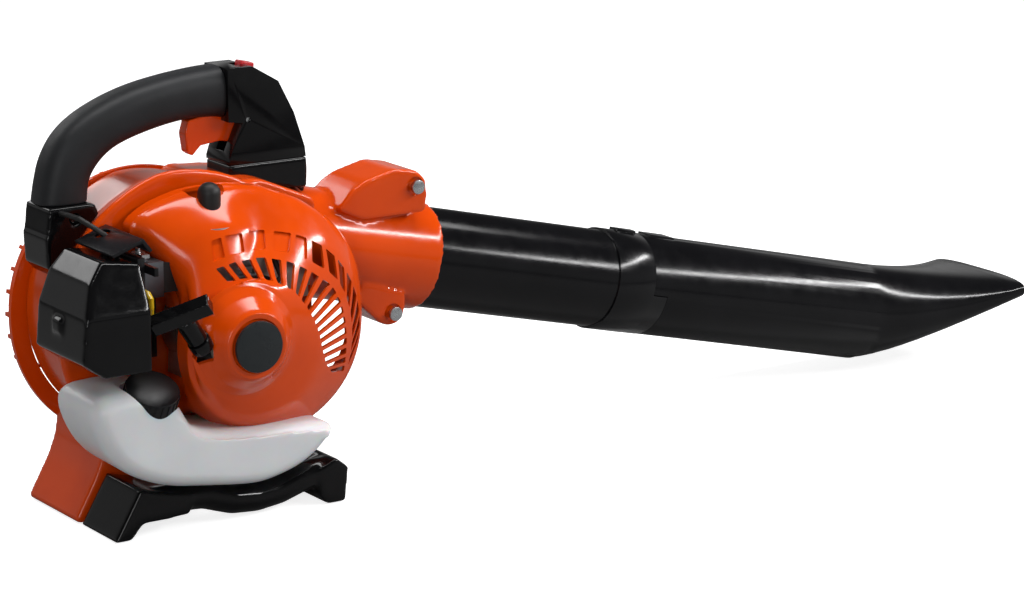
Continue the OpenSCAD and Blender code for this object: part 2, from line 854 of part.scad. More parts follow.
module fuel_tank() {
  color("#F2F3F2") placed() difference() {
    union() {
      difference() {
        slab(tank_near, tank_far) tank_outline();
        cap_pocket(0);
      }
      on_cap() translate([0, 0, -cap_h - 6]) cylinder(h = 18, r = neck_r);
    }
    difference() {
      slab(tank_near + tank_wall, tank_far - tank_wall) offset(delta = -tank_wall) tank_outline();
      cap_pocket(tank_wall);
    }
    on_cap() translate([0, 0, -cap_h - 8]) cylinder(h = 30, r = neck_r - 2.5);
    for (x = line_x) translate([x, line_y, -60]) cylinder(h = 40, r = 2.7);
  }
}

module tank_mounts() {
  color(black) placed() {
    rod_y(tank_far, y_near, 9, -74, -66);
    rod_y(tank_far, y_near, 9, 30, -90);
  }
}

module cap_gasket() {
  color("#22301F") placed() on_cap() translate([0, 0, -4.6]) difference() {
    cylinder(h = 1.6, r = neck_r - 0.6);
    translate([0, 0, -1]) cylinder(h = 4, r = neck_r - 5);
  }
}

module fuel_cap() {
  color(black) placed() on_cap() difference() {
    union() {
      translate([0, 0, -cap_h + 1]) cylinder(h = cap_h - 1, r = cap_r - 0.8);
      for (i = [0:23]) rotate([0, 0, i * 15]) translate([cap_r - 1.4, -1, -cap_h + 2])
        cube([1.4, 2, cap_h - 4]);
    }
    translate([0, 0, -cap_h]) cylinder(h = cap_h - 2.6, r = neck_r + clear);
  }
}

module fuel_lines() {
  color("#D9C21E") placed() {
    hose([[line_x[0], line_y, -82], [line_x[0], line_y, -20], [-60, -70, -6], [-62, -84, 8], [-64, -94, 20],
      [-66, -99, 30], [-66, -99, 36], [-66, -95, 39], [-66, -90.02, 39]], 2.4, [1, 0.1, 0]);
    hose([[line_x[1], line_y, -60], [line_x[1], line_y, -10], [-51, -63, 10], [-48.5, -57.5, 24],
      [-48.5, -57.5, port_z - 13.05]], 2.4, [0.2, 1, 0.1]);
  }
}

module fuel_filter() {
  color("#B8B29A") placed() translate([line_x[0], line_y, -94]) cylinder(h = 12, r = 5);
}

// ---- Handle ----

module handle_outer(inset) {
  offset(delta = -inset) polygon([
    [-108, 62], [-104, 96], [-99, 124], [-83, 148], [-64, 159], [-50, 165], [-9, 176],
    [46, 180], [66, 180], [88, 167], [101, 142], [110, 115], [112, 98], [111, 84],
    [45, 84], [45, 110], [47, 116], [57, 138], [15, 144], [-10, 139], [-43, 128],
    [-58, 117], [-65, 106], [-67, 90], [-61, 75], [-62, 62]]);
}

module trigger_pocket(w) {
  slab(-w / 2, w / 2) polygon([[8, 112], [70, 118], [74, 148], [66, 156], [12, 158], [8, 140]]);
}

module handle_frame() {
  color(black) placed() difference() {
    slab(-frame_w / 2, frame_w / 2) handle_outer(7);
    trigger_pocket(trigger_w + 1.2);
    rod_y(-20, 20, 2, trigger_at[0], trigger_at[1]);
    switch_form(clear, 12);
    volute_outer_round(0.4);
  }
}

// The stop switch, or its slot when it is grown by a gap and lengthened
module switch_form(gap, travel) {
  slab(-5 - gap, 5 + gap) offset(delta = gap) polygon([
    [62 - travel * 0.4, 171.6 + travel * 0.06], [74 + travel * 0.4, 169.6 - travel * 0.06],
    [75 + travel * 0.4, 180 + travel], [64 - travel * 0.4, 182.5 + travel]]);
}

// Everything between two X limits of the handle, outside the frame
module handle_skin(from_x, to_x, from_z, to_z, w) {
  difference() {
    intersection() {
      slab(-w / 2, w / 2) handle_outer(0);
      translate([from_x, -40, from_z]) cube([to_x - from_x, 80, to_z - from_z]);
    }
    slab(-frame_w / 2 - 0.1, frame_w / 2 + 0.1) handle_outer(6.9);
    trigger_pocket(trigger_w + 1.2);
  }
}

module soft_grip() {
  color("#2B2D2F") placed() handle_skin(-120, 44.9, 92, 190, grip_w);
}

module rear_boot() {
  color(black) placed() difference() {
    union() {
      handle_skin(-120, 20, 64, 91.9, grip_w + 4);
      slab(-grip_w / 2 - 2, grip_w / 2 + 2)
        polygon([[-108, 70], [-107, 48], [-98, 38], [-84, 50], [-61, 74]]);
    }
    slab(-60, 60) circle(r = scroll_max + 0.5);
    slab(-frame_w / 2 - 0.1, frame_w / 2 + 0.1) handle_outer(6.9);
    rod_y(-grip_w / 2 - 6, -grip_w / 2 + 2, 4.5, -84, 82);
  }
}

module trigger_housing() {
  color(black) placed() difference() {
    handle_skin(45, 130, 107.1, 190, grip_w);
    switch_form(clear, 12);
    rod_y(-30, 30, 2, trigger_at[0], trigger_at[1]);
  }
}

module front_boot() {
  color(black) placed() difference() {
    union() {
      handle_skin(40, 130, 84, 107, grip_w + 2);
      slab(-16, 16) polygon([[45, 84], [111, 84], [109, 62], [60, 70], [45, 80]]);
    }
    volute_outer_round(0.4);
    slab(-17, 17) polygon([[0, 0], [45, scroll_max * 0.93], [60, 70]]);
  }
}

// The round outer surface of the scroll and duct, grown by a gap
module volute_outer_round(gap) {
  slab(y_near, y_far) circle(r = scroll_max + gap);
  on_tube(0) cylinder(h = collar_s, r = duct_r + gap);
  slab(y_near, y_far) scroll_outline(-gap, 0);
}

module trigger() {
  color(orange) placed() difference() {
    slab(-trigger_w / 2, trigger_w / 2) polygon([
      [17, 118], [21, 115], [28, 122], [44, 124], [57, 122], [66, 130], [68, 144], [56, 150],
      [18, 142], [15, 132]]);
    rod_y(-20, 20, 2 + run_gap, trigger_at[0], trigger_at[1]);
    rod_y(-2.3, 2.3, 5.5, trigger_at[0], trigger_at[1]);
  }
}

module trigger_pivot() {
  color("silver") placed() {
    rod_y(-16, 16, 2, trigger_at[0], trigger_at[1]);
    rod_y(-2, 2, 4.4, trigger_at[0], trigger_at[1]);
  }
}

module stop_switch() {
  color("#C8102E") placed() switch_form(0, 0);
}

module throttle_cable() {
  color(black) placed() {
    hose([[-96, -20.05, 88], [-96, -32, 89], [-93, -44, 88], [-86, -54, 82], [-79, -60, 76], [-72, -62, 71],
      [-66, -62.5, 64]], 2, [0.1, 0.2, 1]);
  }
}

// ---- Blower tube and nozzle ----

lip_from = -85;
lip_span = 128;

module blower_tube() {
  color(black) placed() difference() {
    union() {
      on_tube(collar_s - 50) cylinder(h = rim_s - collar_s + 51, r = tube_r);
      on_tube(rim_s) cylinder(h = joint_s - rim_s, r = rim_r);
      on_tube(joint_s - 0.5) rotate([0, 0, lip_from]) rotate_extrude(angle = lip_span)
        translate([rim_r - tube_wall - 0.5, 0]) square([tube_wall + 0.4, 14.5]);
      on_tube(joint_s - 22) rotate([0, 0, 172]) rotate_extrude(angle = 16)
        translate([rim_r - 0.5, 0]) square([2.5, 18]);
    }
    on_tube(collar_s - 51) cylinder(h = rim_s - collar_s + 54, r = tube_r - tube_wall);
    on_tube(rim_s + 2.5) cylinder(h = joint_s - rim_s + 20, r = rim_r - tube_wall);
  }
}

// Distance of the nozzle's section centre above the tube axis, and its half sizes
function nozzle_low(u) = -nozzle_r + (nozzle_r + 33) * pow(u, 1.4);
function nozzle_high(u) = nozzle_r + 11 * u * u;
function nozzle_half_w(u) = nozzle_r + (mouth_w - nozzle_r) * pow(u, 1.3);
function nozzle_half_h(u) = max((nozzle_high(u) - nozzle_low(u)) / 2, mouth_h);
function nozzle_mid(u) = nozzle_high(u) - nozzle_half_h(u);
function curve(v, p) = sign(v) * pow(abs(v), p);
function section_pt(u, a, inset, s) =
  let (p = 1 - 0.34 * u)
  [-nozzle_mid(u) + (nozzle_half_h(u) - inset) * curve(cos(a), p),
   (nozzle_half_w(u) - inset) * curve(sin(a), p), s];

// The tapered end as one closed skin from u = from to u = 1
module taper_skin(inset, from, extra) {
  sides = 48;
  rings = 12;
  points = [for (i = [0:rings], j = [0:sides - 1])
    let (u = max(from + (1 - from) * i / rings, 0))
    section_pt(u, j * 360 / sides, inset, taper_s + taper_len * (from + (1 - from) * i / rings)
      + (i == rings ? extra : 0))];
  faces = concat(
    [[for (j = [0:sides - 1]) j]],
    [[for (j = [sides - 1:-1:0]) rings * sides + j]],
    [for (i = [0:rings - 1], j = [0:sides - 1])
      let (k = (j + 1) % sides) [i * sides + j, (i + 1) * sides + j, (i + 1) * sides + k, i * sides + k]]);
  on_tube(0) polyhedron(points, faces, convexity = 6);
}

module nozzle() {
  step = 14.5;
  color(black) placed() {
    difference() {
      union() {
        on_tube(rim_s + 4) cylinder(h = joint_s - rim_s + step + 4, r = spigot_r);
        on_tube(joint_s + clear) cylinder(h = taper_s - joint_s + 2, r = nozzle_r);
        taper_skin(0.15, -0.02, 0);
        on_tube(joint_s + 10) translate([-nozzle_r - 1, -9, 0]) cube([4, 18, 24]);
      }
      on_tube(rim_s) cylinder(h = taper_s - rim_s + 3, r = spigot_r - tube_wall);
      taper_skin(tube_wall, -0.04, 2);
      on_tube(joint_s - 1) rotate([0, 0, lip_from - 1]) rotate_extrude(angle = lip_span + nozzle_turn + 3)
        translate([spigot_r - 0.3, 0]) square([20, step + 1]);
    }
  }
}

// ---- Stand ----

bar_path = [[-66, -120], [-36, -119], [-20, -120], [-8, -124], [4, -128], [24, -129.5],
  [44, -127], [60, -122], [74, -119], [86, -119]];

module stand() {
  color(black) placed() {
    hose([for (p = bar_path) [p[0], bar_y, p[1]]], bar_r, [0, 1, 0], 24);
    slab(bar_y - bar_r - 1, -40.3) polygon([
      [-98, -ground], [-84, -ground], [-74, -131], [-54, -131], [-36, -130], [-33, -115],
      [-62, -109], [-76, -105]]);
    slab(-97, 40)
      polygon([[74, -ground + 8], [80, -ground], [96, -ground], [99, -116], [88, -107], [74, -114]]);
    difference() {
      for (y = [-17, 20]) slab(y, y + 12)
        polygon([[74, -114], [90, -107], [74, -88], [40, -88], [44, -98], [62, -104]]);
      slab(-30, y_far + 1) scroll_outline(0, 0);
    }
  }
}

// ---- Fasteners ----

module cover_screws() {
  color("silver") placed() for (p = cover_posts) {
    rod_y(-66, y_near + wall, 1.9, p[0], p[1]);
  }
}

module housing_screws() {
  color("silver") placed() for (p = ear_holes) screw_y(p[0], p[1], -41, 40);
}

volute_far();
volute_near();
intake_guard();
fan_impeller();
fan_nut();
crankshaft();
crankcase_far();
crankcase_near();
case_gasket();
bearings();
oil_seals();
cylinder_barrel();
piston();
piston_rings();
wrist_pin();
connecting_rod();
spark_plug();
plug_cap();
ignition_coil();
plug_lead();
muffler();
muffler_gasket();
intake_manifold();
carburettor();
throttle_lever();
choke_lever();
primer_bulb();
filter_base();
filter_element();
filter_cover();
air_baffle();
flywheel();
flywheel_nut();
engine_cover();
badge();
starter_reel();
recoil_spring();
starter_guide();
starter_rope();
starter_grip();
fuel_tank();
tank_mounts();
cap_gasket();
fuel_cap();
fuel_lines();
fuel_filter();
handle_frame();
soft_grip();
trigger_housing();
rear_boot();
front_boot();
trigger();
trigger_pivot();
stop_switch();
throttle_cable();
blower_tube();
nozzle();
stand();
cover_screws();
housing_screws();
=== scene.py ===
import json
import math
import bmesh
import bpy
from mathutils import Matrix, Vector


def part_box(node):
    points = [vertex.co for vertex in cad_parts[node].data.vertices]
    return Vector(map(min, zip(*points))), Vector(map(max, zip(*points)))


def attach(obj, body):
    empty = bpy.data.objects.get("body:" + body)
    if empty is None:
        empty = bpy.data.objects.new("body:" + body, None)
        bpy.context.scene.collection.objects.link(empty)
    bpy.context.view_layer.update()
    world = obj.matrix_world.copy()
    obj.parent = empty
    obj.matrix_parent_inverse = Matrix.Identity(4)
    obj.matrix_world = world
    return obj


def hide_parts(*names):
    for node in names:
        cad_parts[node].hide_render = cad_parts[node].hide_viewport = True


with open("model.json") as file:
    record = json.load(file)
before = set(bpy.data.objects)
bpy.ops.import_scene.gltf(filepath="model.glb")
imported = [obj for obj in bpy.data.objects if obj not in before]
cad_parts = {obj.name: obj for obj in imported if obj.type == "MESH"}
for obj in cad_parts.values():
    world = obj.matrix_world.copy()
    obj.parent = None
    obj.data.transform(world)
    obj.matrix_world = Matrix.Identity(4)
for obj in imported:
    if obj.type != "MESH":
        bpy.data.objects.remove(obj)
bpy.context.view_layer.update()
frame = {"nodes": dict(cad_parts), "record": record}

# The crank axis is the drawing origin for every measure below, in millimetres.
housingFarDepth = 0.040
shaftLow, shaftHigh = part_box("crankshaft")
crank = Vector(((shaftLow.x + shaftHigh.x) / 2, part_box("volute_far")[1].y - housingFarDepth,
                (shaftLow.z + shaftHigh.z) / 2))


def at(x, y, z):
    return crank + Vector((x, y, z)) / 1000


# The blower tube leaves above the crank and slopes down to the nozzle.
tubeSlope = math.radians(13.3)
tubeAlong = Vector((math.cos(tubeSlope), 0, -math.sin(tubeSlope)))
tubeUp = Vector((math.sin(tubeSlope), 0, math.cos(tubeSlope)))
tubeStart = at(0, 0, 64.43)


scene = bpy.context.scene
scene.view_settings.view_transform = "Standard"


def clearSelection():
    if bpy.context.object and bpy.context.object.mode != "OBJECT":
        bpy.ops.object.mode_set(mode="OBJECT")
    bpy.ops.object.select_all(action="DESELECT")


def pick(piece):
    clearSelection()
    piece.select_set(True)
    bpy.context.view_layer.objects.active = piece


view = {"place": (-1194.3, -2265.8, 627.3), "target": (311.1, 0, -35.84), "lens": 123.05, "farClip": 50}
clearSelection()
bpy.ops.object.camera_add(location=at(*view["place"]))
camera = bpy.context.object
camera.data.lens = view["lens"]
camera.data.sensor_width = 36
camera.data.clip_end = view["farClip"]
camera.rotation_euler = (at(*view["target"]) - camera.location).to_track_quat("-Z", "Y").to_euler()
scene.camera = camera


# A hex sRGB code as the linear colour the shaders take.
def linear(code):
    parts = [int(code[i:i + 2], 16) / 255 for i in (1, 3, 5)]
    return tuple(c / 12.92 if c <= 0.04045 else ((c + 0.055) / 1.055) ** 2.4 for c in parts) + (1.0,)


def addNode(tree, kind, links=None, **settings):
    node = tree.nodes.new(kind)
    for name, value in settings.items():
        setattr(node, name, value)
    for name, value in (links or {}).items():
        if isinstance(value, bpy.types.NodeSocket):
            tree.links.new(value, node.inputs[name])
        else:
            node.inputs[name].default_value = value
    return node


lamps = {
    # name: place in mm, aim in mm, width, height in m, watts
    "tubeStrip": ((1500, -900, 900), (350, 0, -20), 1.9, 0.10, 27),
    "overhead": ((250, -150, 1500), (250, 0, 0), 1.7, 0.35, 22),
    "leftSoft": ((-1300, -1500, 500), (0, -60, 0), 0.5, 0.9, 9),
    "rearRim": ((-300, 1500, 900), (200, 0, 0), 1.4, 0.4, 6),
}
for name, (place, aim, width, height, watts) in lamps.items():
    clearSelection()
    bpy.ops.object.light_add(type="AREA", location=at(*place))
    lamp = bpy.context.object
    lamp.name = name
    lamp.data.shape = "RECTANGLE"
    lamp.data.size = width
    lamp.data.size_y = height
    lamp.data.energy = watts
    lamp.rotation_euler = (at(*aim) - lamp.location).to_track_quat("-Z", "Y").to_euler()

world = bpy.data.worlds.new("studio")
scene.world = world
world.use_nodes = True
sky = world.node_tree
sky.nodes.clear()
path = addNode(sky, "ShaderNodeLightPath")
seen = addNode(sky, "ShaderNodeMath", {0: path.outputs["Is Camera Ray"], 1: path.outputs["Is Glossy Ray"]},
               operation="MAXIMUM")
seen = addNode(sky, "ShaderNodeMath", {0: seen.outputs[0], 1: path.outputs["Is Transmission Ray"]},
               operation="MAXIMUM")
# What lights the part is even and dim; what it mirrors darkens overhead, so the gloss keeps its contrast.
ambient = addNode(sky, "ShaderNodeBackground", {"Color": linear("#FFFFFF"), "Strength": 0.30})
heading = addNode(sky, "ShaderNodeSeparateXYZ",
                  {"Vector": addNode(sky, "ShaderNodeTexCoord").outputs["Generated"]})
ceiling = addNode(sky, "ShaderNodeMapRange",
                  {"Value": heading.outputs["Z"], "From Min": 0.12, "From Max": 0.5, "To Min": 0.35, "To Max": 0.05},
                  interpolation_type="SMOOTHSTEP")
backdrop = addNode(sky, "ShaderNodeBackground", {"Color": linear("#FFFFFF"), "Strength": ceiling.outputs[0]})
skyMix = addNode(sky, "ShaderNodeMixShader", {0: seen.outputs[0], 1: ambient.outputs[0], 2: backdrop.outputs[0]})
addNode(sky, "ShaderNodeOutputWorld", {"Surface": skyMix.outputs[0]})

floorSize, floorDrop = 30, 0.0006
clearSelection()
bpy.ops.mesh.primitive_plane_add(size=floorSize, location=(0, 0, -floorDrop))
floor = bpy.context.object
floor.name = "studioFloor"
# Matt white paper: bright and even to the eye, greyer in what it throws back at the part.
floorPaint = bpy.data.materials.new("mattWhitePaper")
floorPaint.use_nodes = True
paper = floorPaint.node_tree
paper.nodes.clear()
floorPath = addNode(paper, "ShaderNodeLightPath")
diffuse = addNode(paper, "ShaderNodeBsdfDiffuse", {"Color": linear("#D2D2D2")})
softGlow = addNode(paper, "ShaderNodeEmission", {"Color": linear("#FFFFFF"), "Strength": 0.8})
lit = addNode(paper, "ShaderNodeAddShader", {0: diffuse.outputs[0], 1: softGlow.outputs[0]})
bounce = addNode(paper, "ShaderNodeBsdfDiffuse", {"Color": linear("#8C8C8C")})
floorMix = addNode(paper, "ShaderNodeMixShader",
                   {0: floorPath.outputs["Is Camera Ray"], 1: bounce.outputs[0], 2: lit.outputs[0]})
addNode(paper, "ShaderNodeOutputMaterial", {"Surface": floorMix.outputs[0]})
floor.data.materials.append(floorPaint)
print("studio ready")


# The noise scale, in object metres, that gives a grain of so many millimetres.
def grain(millimetres):
    return 1000 / millimetres


cloudMm, dustMm, waveMm = 45, 9, 18


# A moulded or cast surface: two close tints in soft clouds, gloss that varies with fleck and dust, and a
# fine relief over a slower ripple.
def mould(name, colour, shade, roughness, spread=0.05, fleckMm=0.6, bump=0.02, wave=0.0, metallic=0.0, specular=0.5,
          extra=None):
    paint = bpy.data.materials.new(name)
    paint.use_nodes = True
    tree = paint.node_tree
    tree.nodes.clear()
    place = addNode(tree, "ShaderNodeTexCoord").outputs["Object"]
    cloud = addNode(tree, "ShaderNodeTexNoise", {"Vector": place, "Scale": grain(cloudMm), "Detail": 3.0})
    blotch = addNode(tree, "ShaderNodeMapRange", {"Value": cloud.outputs["Fac"], "From Min": 0.35, "From Max": 0.7})
    tint = addNode(tree, "ShaderNodeMix", {"Factor": blotch.outputs[0], 6: linear(colour), 7: linear(shade)},
                   data_type="RGBA")
    fleck = addNode(tree, "ShaderNodeTexNoise",
                    {"Vector": place, "Scale": grain(fleckMm), "Detail": 4.0, "Roughness": 0.6})
    dust = addNode(tree, "ShaderNodeTexNoise", {"Vector": place, "Scale": grain(dustMm), "Detail": 5.0})
    wear = addNode(tree, "ShaderNodeMath", {0: fleck.outputs["Fac"], 1: dust.outputs["Fac"]}, operation="ADD")
    gloss = addNode(tree, "ShaderNodeMapRange", {
        "Value": wear.outputs[0], "From Min": 0.7, "From Max": 1.3,
        "To Min": max(roughness - spread, 0.02), "To Max": roughness + spread})
    ripple = addNode(tree, "ShaderNodeTexNoise", {"Vector": place, "Scale": grain(waveMm), "Detail": 1.0})
    height = addNode(tree, "ShaderNodeMath", {0: ripple.outputs["Fac"], 1: wave, 2: fleck.outputs["Fac"]},
                     operation="MULTIPLY_ADD")
    relief = addNode(tree, "ShaderNodeBump", {"Height": height.outputs[0], "Strength": bump, "Distance": 0.0005})
    skin = addNode(tree, "ShaderNodeBsdfPrincipled", {
        "Base Color": tint.outputs[2], "Roughness": gloss.outputs[0], "Normal": relief.outputs[0],
        "Metallic": metallic, "Specular IOR Level": specular})
    for name, value in (extra or {}).items():
        skin.inputs[name].default_value = value
    addNode(tree, "ShaderNodeOutputMaterial", {"Surface": skin.outputs[0]})
    return paint


# ABS from a polished mould: bright orange with a mirror-like sheen.
orangeAbs = mould("orangeAbsMoulded", "#CF4402", "#C63F01", 0.15, fleckMm=0.9, bump=0.012, wave=0.5, specular=0.36)
# Gloss ABS: deep black with crisp highlights.
blackAbs = mould("blackAbsGloss", "#070708", "#0C0C0D", 0.13, fleckMm=0.9, bump=0.012, wave=0.5, specular=0.25)
# Moulded polypropylene of the tubes: black, with a slightly softer sheen than the ABS.
blackPolypropylene = mould("blackPolypropyleneTube", "#08080A", "#0E0E10", 0.17, fleckMm=0.5, bump=0.02, wave=0.4,
                           specular=0.27)
# Polypropylene from a spark-eroded mould: fine texture that breaks the highlights up.
satinPolypropylene = mould("satinPolypropylene", "#0C0C0E", "#131316", 0.36, fleckMm=0.4, bump=0.06, specular=0.3)
# Overmoulded elastomer: charcoal, matt and slightly grained under the hand.
softGripRubber = mould("softGripTpe", "#17181A", "#1E1F22", 0.52, fleckMm=0.35, bump=0.18, specular=0.3)
# Cured EPDM of boots, seals and hoses: dull black with a dusty bloom.
hoseRubber = mould("blackEpdmRubber", "#141414", "#1F1E1D", 0.5, fleckMm=0.3, bump=0.12, specular=0.35)
# Pressure die-cast aluminium, left as cast: grey and grainy, with uneven shine.
castAluminium = mould("dieCastAluminium", "#A9ACAE", "#94979A", 0.42, spread=0.1, fleckMm=0.7, bump=0.25, metallic=1.0)
# Die-cast zinc of the carburettor: darker and duller than the aluminium.
darkZinc = mould("dieCastZinc", "#63666A", "#4E5155", 0.45, spread=0.1, fleckMm=0.7, bump=0.25, metallic=1.0)
# Zinc-plated steel of fasteners, shafts and levers: bright with a faint bloom.
zincSteel = mould("zincPlatedSteel", "#C9CBCC", "#B4B7BA", 0.26, spread=0.08, fleckMm=0.3, bump=0.06, metallic=1.0)
# Pressed steel that has been hot: warm grey with brownish clouds.
mufflerSteel = mould("heatTintedSteel", "#B0ACA6", "#8C857B", 0.35, spread=0.1, fleckMm=0.5, bump=0.1, metallic=1.0)
# Compressed fibre sheet: flat grey-green, with no shine.
gasketFibre = mould("gasketFibre", "#4B5A50", "#3C4940", 0.8, fleckMm=0.3, bump=0.2)
# Glazed alumina of the plug's insulator: smooth warm white.
plugCeramic = mould("glazedAlumina", "#F1EFE8", "#E9E6DC", 0.18, fleckMm=0.4, bump=0.01)
# Cast urethane bulb: smoky and smooth.
bulbRubber = mould("primerBulbUrethane", "#2B2C2A", "#383936", 0.3, fleckMm=0.5, bump=0.03)
# Open-cell foam of the filters: dark, rough and without gloss.
filterFoam = mould("filterFoam", "#4B4B48", "#2F2F2C", 0.95, fleckMm=1.1, bump=0.9)
# Dark ABS disc of the badge: smooth, with a soft shine.
badgePlate = mould("badgePlateAbs", "#1D2022", "#222628", 0.3, fleckMm=0.3, bump=0.03, specular=0.35)
# Natural nylon of reel and fan: milky, with a waxy shine.
reelNylon = mould("reelNylon", "#DAD6CA", "#CFCABC", 0.4, fleckMm=0.5, bump=0.04)
# Braided polyester cord: dark, with a coarse matt weave.
ropePolyester = mould("braidedPolyester", "#26262A", "#343438", 0.8, fleckMm=0.7, bump=0.7)
# Blow-moulded HDPE of the tank: cloudy white that lets a little light in.
tankHdpe = mould("blowMouldedHdpe", "#DADCDE", "#D2D4D7", 0.34, fleckMm=2.5, bump=0.012, wave=0.8,
                 extra={"Subsurface Weight": 0.35, "Subsurface Scale": 0.006})
# Extruded fuel hose: clear yellow, smooth and slightly wet-looking.
hoseYellow = mould("fuelHoseTygon", "#D9B418", "#C9A312", 0.3, fleckMm=0.6, bump=0.02)
# Red ABS of the stop switch: plain and shiny.
switchRed = mould("redAbs", "#B5121B", "#A80F18", 0.25, fleckMm=0.6, bump=0.02)
print("materials ready")

finishes = [
    (orangeAbs, "volute_far volute_near intake_guard engine_cover trigger"),
    (blackAbs, "filter_cover rear_boot front_boot trigger_housing starter_guide starter_grip stand"),
    (satinPolypropylene, "fuel_cap handle_frame filter_base air_baffle choke_lever ignition_coil"),
    (blackPolypropylene, "blower_tube nozzle"),
    (softGripRubber, "soft_grip"),
    (hoseRubber, "intake_manifold plug_cap plug_lead oil_seals tank_mounts cap_gasket throttle_cable"),
    (castAluminium, "crankcase_far crankcase_near cylinder_barrel piston flywheel"),
    (darkZinc, "carburettor"),
    (reelNylon, "fan_impeller starter_reel"),
    (zincSteel, "crankshaft fan_nut flywheel_nut bearings piston_rings wrist_pin connecting_rod throttle_lever"),
    (zincSteel, "recoil_spring trigger_pivot cover_screws housing_screws"),
    (mufflerSteel, "muffler"),
    (gasketFibre, "case_gasket muffler_gasket"),
    (plugCeramic, "spark_plug"),
    (bulbRubber, "primer_bulb"),
    (filterFoam, "filter_element fuel_filter"),
    (badgePlate, "badge"),
    (ropePolyester, "starter_rope"),
    (tankHdpe, "fuel_tank"),
    (hoseYellow, "fuel_lines"),
    (switchRed, "stop_switch"),
]
nodeFinish = {node: paint for paint, nodes in finishes for node in nodes.split()}
bodyOf = {node: body for body, nodes in frame["record"]["behaviour"]["bodies"].items() for node in nodes}
for node, paint in nodeFinish.items():
    cadMesh = frame["nodes"][node].data
    cadMesh.materials.clear()
    cadMesh.materials.append(paint)


def finishPiece(piece, paint, node, alsoNodes=(), body=None, angle=None):
    pick(piece)
    bpy.ops.object.transform_apply(location=True, rotation=True, scale=True)
    piece.data.materials.clear()
    piece.data.materials.append(paint)
    if angle is None:
        bpy.ops.object.shade_smooth()
    else:
        bpy.ops.object.shade_smooth_by_angle(angle=math.radians(angle))
    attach(piece, body or bodyOf[node])
    if alsoNodes is not None:
        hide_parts(node, *alsoNodes)
    return piece


def applyModifier(piece, kind, **settings):
    pick(piece)
    modifier = piece.modifiers.new(kind.lower(), kind)
    for name, value in settings.items():
        setattr(modifier, name, value)
    bpy.ops.object.modifier_apply(modifier=modifier.name)


mergeGap, flatAngle = 0.00001, math.radians(0.6)


# A copy of a CAD node with its doubled points merged and its flat faces made whole.
def copyOf(node, name):
    piece = bpy.data.objects.new(name, frame["nodes"][node].data.copy())
    scene.collection.objects.link(piece)
    pick(piece)
    if piece.data.has_custom_normals:
        bpy.ops.mesh.customdata_custom_splitnormals_clear()
    bpy.ops.object.mode_set(mode="EDIT")
    bpy.ops.mesh.select_all(action="SELECT")
    bpy.ops.mesh.remove_doubles(threshold=mergeGap)
    bpy.ops.mesh.dissolve_limited(angle_limit=flatAngle)
    bpy.ops.object.mode_set(mode="OBJECT")
    return piece


def soften(piece, voxelMm, rounds):
    applyModifier(piece, "REMESH", mode="VOXEL", voxel_size=voxelMm / 1000)
    applyModifier(piece, "SMOOTH", factor=0.5, iterations=rounds)


# A skin through rings of equally many points, extruded one ring at a time.
def loft(name, rings, startCap=True):
    clearSelection()
    bpy.ops.mesh.primitive_circle_add(vertices=len(rings[0]), radius=0.01)
    piece = bpy.context.object
    piece.name = name
    bpy.ops.object.mode_set(mode="EDIT")
    mesh = bmesh.from_edit_mesh(piece.data)
    order = mesh.verts.layers.int.new("order")
    mesh.verts.ensure_lookup_table()
    for index, vert in enumerate(mesh.verts):
        vert[order] = index
        vert.co = rings[0][index]
    bmesh.update_edit_mesh(piece.data)
    bpy.ops.mesh.select_all(action="SELECT")
    if startCap:
        bpy.ops.mesh.edge_face_add()
    for ring in rings[1:]:
        bpy.ops.mesh.extrude_edges_move()
        mesh = bmesh.from_edit_mesh(piece.data)
        order = mesh.verts.layers.int["order"]
        for vert in mesh.verts:
            if vert.select:
                vert.co = ring[vert[order]]
        bmesh.update_edit_mesh(piece.data)
    bpy.ops.mesh.edge_face_add()
    bpy.ops.mesh.select_all(action="SELECT")
    bpy.ops.mesh.normals_make_consistent(inside=False)
    bpy.ops.object.mode_set(mode="OBJECT")
    return piece


def between(first, second, share):
    return [a.lerp(b, share) for a, b in zip(first, second)]


# Extra rings close to each given one, so that subdivision keeps its edge.
def crisp(rings, edge):
    dense = [rings[0]]
    for first, second in zip(rings, rings[1:]):
        dense += [between(first, second, edge), between(first, second, 1 - edge), second]
    return dense


def prism(name, outline, nearY, farY, roundMm=0.0):
    piece = loft(name, [[at(x, y, z) for x, z in outline] for y in (nearY, farY)])
    if roundMm:
        pick(piece)
        bpy.ops.object.mode_set(mode="EDIT")
        bpy.ops.mesh.select_mode(type="EDGE")
        bpy.ops.mesh.select_all(action="DESELECT")
        mesh = bmesh.from_edit_mesh(piece.data)
        for edge in mesh.edges:
            run = edge.verts[0].co - edge.verts[1].co
            edge.select = abs(run.y) > 0.9 * run.length
        bmesh.update_edit_mesh(piece.data)
        bpy.ops.mesh.bevel(offset=roundMm / 1000, segments=4, affect="EDGES")
        bpy.ops.mesh.select_mode(type="VERT")
        bpy.ops.object.mode_set(mode="OBJECT")
    return piece


def rod(name, start, end, radiusMm, sides=48):
    along = (end - start).normalized()
    side = along.orthogonal().normalized()
    other = along.cross(side)
    turns = [2 * math.pi * i / sides for i in range(sides)]
    radius = radiusMm / 1000
    return loft(name, [[place + radius * (math.cos(t) * side + math.sin(t) * other) for t in turns]
                       for place in (start, end)])


def joined(name, pieces):
    clearSelection()
    for piece in pieces:
        piece.select_set(True)
    bpy.context.view_layer.objects.active = pieces[0]
    bpy.ops.object.join()
    whole = bpy.context.view_layer.objects.active
    whole.name = name
    return whole


def carve(piece, cutter, operation="DIFFERENCE"):
    applyModifier(piece, "BOOLEAN", operation=operation, solver="MANIFOLD", object=cutter)
    bpy.data.objects.remove(cutter, do_unlink=True)


